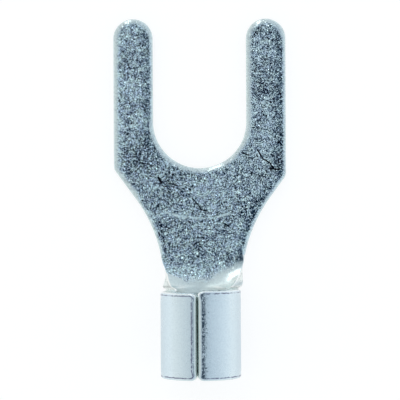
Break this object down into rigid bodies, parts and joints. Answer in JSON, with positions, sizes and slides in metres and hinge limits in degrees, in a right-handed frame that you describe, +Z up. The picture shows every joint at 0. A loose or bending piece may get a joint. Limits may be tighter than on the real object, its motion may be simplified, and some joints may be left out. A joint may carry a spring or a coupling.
{
  "type": "fork terminal",
  "caption": "Bare fork crimp terminal: a flat slotted tongue for a stud flares into a neck that rolls up into a butt-seamed wire barrel.",
  "frame": {"origin": "centre of the slot's round end, on the tongue's underside", "axes": "+Y along the prongs to their tips, +Z up out of the tongue towards the barrel's seam side, +X to the right"},
  "size_m": [0.012, 0.0247, 0.0058],
  "materials": {
    "tin_plate": "matte grainy tin plate over copper"
  },
  "bodies": {
    "root": {"fork_terminal": "tin_plate"}
  },
  "joints": []
}
